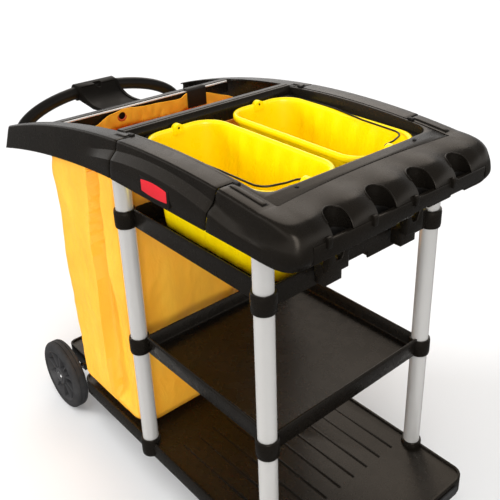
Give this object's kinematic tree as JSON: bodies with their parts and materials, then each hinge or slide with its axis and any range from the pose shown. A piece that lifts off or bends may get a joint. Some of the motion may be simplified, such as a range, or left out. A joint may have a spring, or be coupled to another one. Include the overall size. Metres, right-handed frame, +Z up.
{
  "type": "housekeeping cart",
  "caption": "Housekeeping cart with a black moulded hood, tool slots, yellow lift-out buckets, shelves, a hanging yellow bag and wheels.",
  "frame": {"origin": "on the floor, at the centre of the footprint's bounding rectangle, 26 mm ahead of the rear posts' axis", "axes": "+X along the cart from the push handle to the tool holders; +Y across the cart to its far side, away from the badge; +Z up"},
  "size_m": [1.143, 0.552, 0.9719],
  "materials": {
    "charcoal_plastic": "fine moulded grain, satin",
    "dark_plastic": "fine grain, matt",
    "handle_grip": "soft matt grip",
    "bucket_yellow": "smooth moulded, semi-gloss",
    "bag_vinyl": "coated cloth, soft sheen",
    "post_aluminium": "satin anodised",
    "fitting_steel": "zinc plated",
    "bail_wire": "dark drawn wire",
    "eyelet_metal": "coated rim",
    "emblem_red": "gloss inlay",
    "tyre_rubber": "plain tread",
    "hub_plastic": "moulded"
  },
  "bodies": {
    "cart": {"axle_hanger_far": "hub_plastic", "axle_hanger_near": "hub_plastic", "badge_emblem": "emblem_red", "badge_plate": "dark_plastic", "bag": "bag_vinyl", "bag_rod": "fitting_steel", "bag_strap": "dark_plastic", "base_deck": "charcoal_plastic", "caster_plate_far": "fitting_steel", "caster_plate_near": "fitting_steel", "eyelet_far": "eyelet_metal", "eyelet_near": "eyelet_metal", "front_bumper": "tyre_rubber", "handle": "handle_grip", "handle_bracket": "handle_grip", "hood_arm_far": "charcoal_plastic", "hood_arm_near": "charcoal_plastic", "hood_front": "charcoal_plastic", "hood_side_far": "charcoal_plastic", "hood_side_near": "charcoal_plastic", "latch_front_far": "dark_plastic", "latch_front_near": "dark_plastic", "latch_rear_far": "dark_plastic", "latch_rear_near": "dark_plastic", "mid_shelf": "charcoal_plastic", "post_front_far": "post_aluminium", "post_front_near": "post_aluminium", "post_rear_far": "post_aluminium", "post_rear_near": "post_aluminium", "rear_axle": "fitting_steel", "rear_beam": "charcoal_plastic", "rear_cross_rail": "charcoal_plastic", "screw_1": "fitting_steel", "screw_2": "fitting_steel", "tool_grip_1": "dark_plastic", "tool_grip_2": "dark_plastic", "tool_grip_3": "dark_plastic", "tool_grip_4": "dark_plastic", "tool_rail": "charcoal_plastic", "tool_rest_far": "charcoal_plastic", "tool_rest_near": "charcoal_plastic", "top_shelf": "charcoal_plastic", "tray_frame": "charcoal_plastic"},
    "near_bucket_body": {"bucket_near": "bucket_yellow"},
    "near_bail_body": {"bail_near": "bail_wire"},
    "near_wheel_body": {"wheel_tyre_near": "tyre_rubber", "wheel_hub_near": "hub_plastic"},
    "near_swivel_body": {"caster_fork_near": "fitting_steel"},
    "near_caster_body": {"caster_tyre_near": "tyre_rubber", "caster_hub_near": "hub_plastic"},
    "far_bucket_body": {"bucket_far": "bucket_yellow"},
    "far_bail_body": {"bail_far": "bail_wire"},
    "far_wheel_body": {"wheel_tyre_far": "tyre_rubber", "wheel_hub_far": "hub_plastic"},
    "far_swivel_body": {"caster_fork_far": "fitting_steel"},
    "far_caster_body": {"caster_tyre_far": "tyre_rubber", "caster_hub_far": "hub_plastic"}
  },
  "joints": [
    {"name": "near_bucket_lift", "type": "slide", "parent": "cart", "child": "near_bucket_body", "axis": [0, 0, 1], "range_m": [0, 0.22]},
    {"name": "near_bail_swing", "type": "hinge", "parent": "near_bucket_body", "child": "near_bail_body", "pos_m": [0.2055, -0.11, 0.9485], "axis": [-1, 0, 0], "range_deg": [0, 175]},
    {"name": "near_wheel_roll", "type": "hinge", "parent": "cart", "child": "near_wheel_body", "pos_m": [-0.47, -0.236, 0.1015], "axis": [0, 1, 0], "continuous": true},
    {"name": "near_caster_swivel", "type": "hinge", "parent": "cart", "child": "near_swivel_body", "pos_m": [0.482, -0.176, 0.121], "axis": [0, 0, 1], "continuous": true},
    {"name": "near_caster_roll", "type": "hinge", "parent": "near_swivel_body", "child": "near_caster_body", "pos_m": [0.448, -0.176, 0.051], "axis": [0, 1, 0], "continuous": true},
    {"name": "far_bucket_lift", "type": "slide", "parent": "cart", "child": "far_bucket_body", "axis": [0, 0, 1], "range_m": [0, 0.22]},
    {"name": "far_bail_swing", "type": "hinge", "parent": "far_bucket_body", "child": "far_bail_body", "pos_m": [0.2055, 0.11, 0.9485], "axis": [1, 0, 0], "range_deg": [0, 175]},
    {"name": "far_wheel_roll", "type": "hinge", "parent": "cart", "child": "far_wheel_body", "pos_m": [-0.47, 0.236, 0.1015], "axis": [0, 1, 0], "continuous": true},
    {"name": "far_caster_swivel", "type": "hinge", "parent": "cart", "child": "far_swivel_body", "pos_m": [0.482, 0.176, 0.121], "axis": [0, 0, 1], "continuous": true},
    {"name": "far_caster_roll", "type": "hinge", "parent": "far_swivel_body", "child": "far_caster_body", "pos_m": [0.448, 0.176, 0.051], "axis": [0, 1, 0], "continuous": true}
  ]
}
